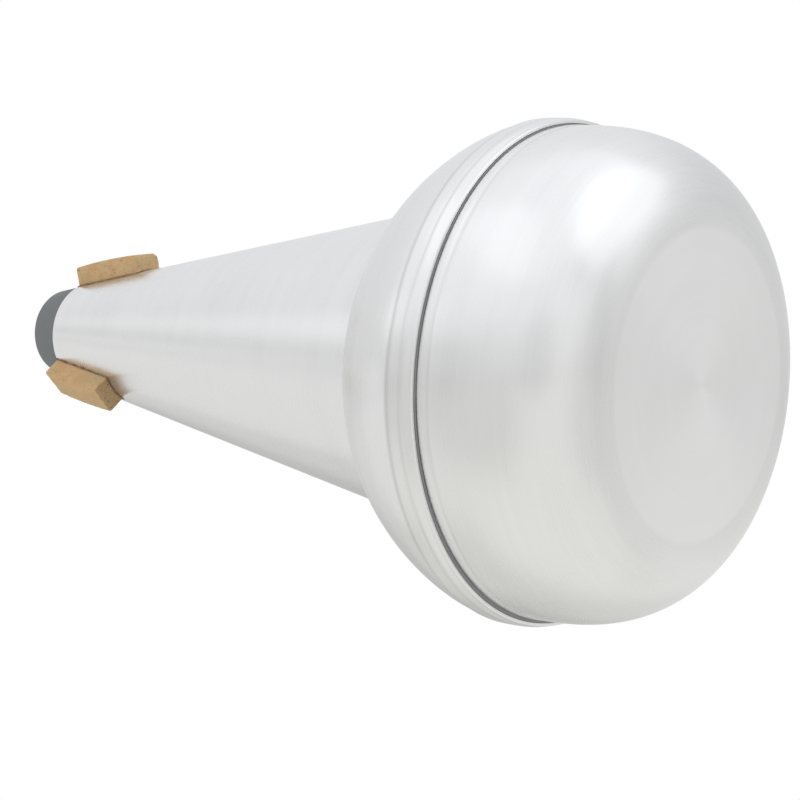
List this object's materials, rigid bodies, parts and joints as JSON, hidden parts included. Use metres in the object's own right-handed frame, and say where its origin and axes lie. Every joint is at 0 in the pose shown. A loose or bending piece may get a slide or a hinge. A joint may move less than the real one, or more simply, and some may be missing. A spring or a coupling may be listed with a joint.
{
  "type": "practice mute",
  "caption": "Hollow spun-metal practice mute with a flat-based bulb, a tapered neck, cork strips that seat in the bell of a brass instrument, and a soft ring at the mouth.",
  "frame": {"origin": "centre of the bulb's flat face, on which the mute stands", "axes": "+Z along the mute's own axis, from the flat face to the mouth; +X out through the middle of cork_pad_1"},
  "size_m": [0.09, 0.09, 0.1616],
  "materials": {
    "spun_aluminium_front": "satin, fine concentric spinning lines",
    "spun_aluminium_rear": "satin, fine lines round the axis",
    "spun_aluminium_neck": "satin, very fine lines round the axis",
    "seal_rubber": "matte",
    "ring_rubber": "matte",
    "cork": "raw fine-grained cork with small dark pores"
  },
  "bodies": {
    "root": {"front_bowl": "spun_aluminium_front", "rear_bowl": "spun_aluminium_rear", "seam_gasket": "seal_rubber", "neck_cone": "spun_aluminium_neck", "mouth_ring": "ring_rubber", "cork_pad_1": "cork", "cork_pad_2": "cork", "cork_pad_3": "cork"}
  },
  "joints": []
}
